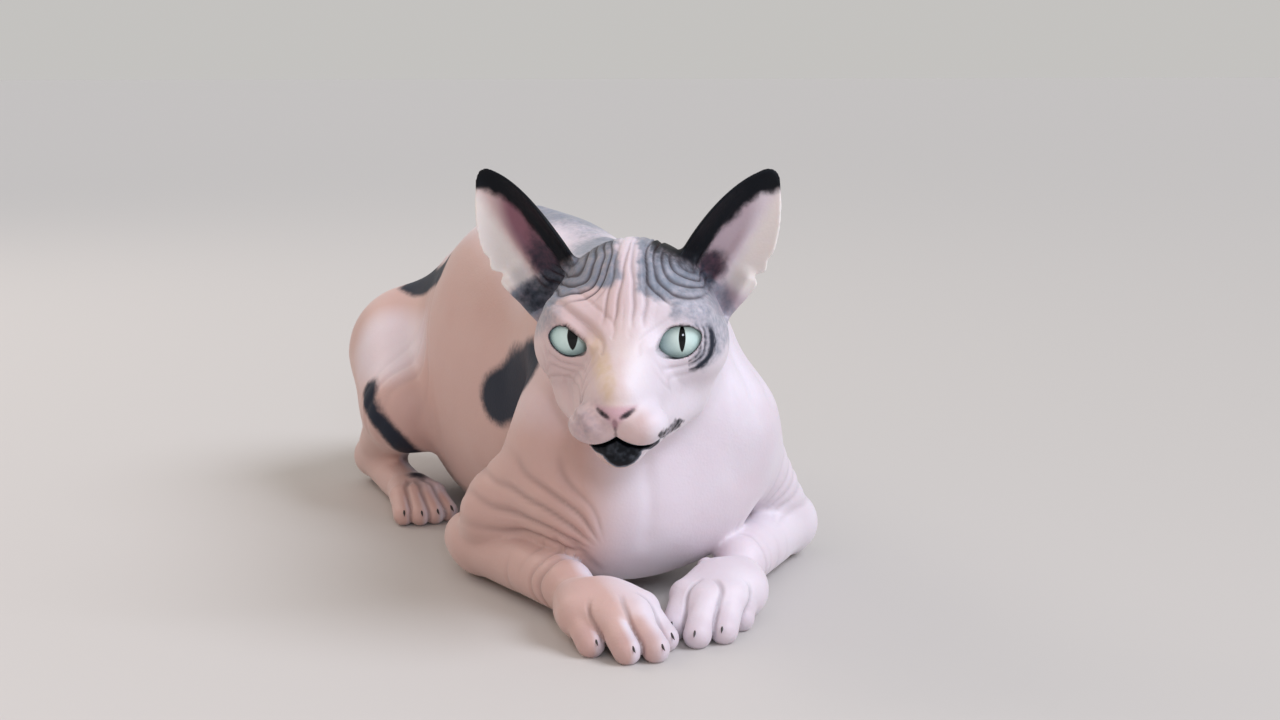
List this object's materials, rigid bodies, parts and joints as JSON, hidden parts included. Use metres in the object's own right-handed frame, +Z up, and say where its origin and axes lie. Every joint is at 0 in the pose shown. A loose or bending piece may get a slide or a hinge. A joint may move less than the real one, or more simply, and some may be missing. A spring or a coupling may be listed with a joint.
{
  "type": "hairless cat model",
  "caption": "Life-size still model of a hairless cat lying on its chest with its forepaws together and its ears upright.",
  "frame": {"origin": "on the floor under the middle of the whole model's box", "axes": "+Z up, the cat faces -Y, +X is the cat's left"},
  "size_m": [0.1827, 0.4082, 0.1853],
  "materials": {
    "skin_pale": "satin",
    "skin_pink": "satin",
    "eye": "gloss"
  },
  "bodies": {
    "root": {"head": "skin_pale", "ear_left": "skin_pink", "ear_right": "skin_pink", "eye_left": "eye", "eye_right": "eye", "neck": "skin_pink", "torso": "skin_pink", "foreleg_left_upper": "skin_pale", "foreleg_left_lower": "skin_pink", "forepaw_left": "skin_pink", "foreleg_right_upper": "skin_pink", "foreleg_right_lower": "skin_pink", "forepaw_right": "skin_pink", "hindleg_left": "skin_pink", "hindpaw_left": "skin_pink", "hindleg_right": "skin_pink", "hindpaw_right": "skin_pink", "tail_base": "skin_pink", "tail_middle": "skin_pink", "tail_tip": "skin_pink"}
  },
  "joints": []
}
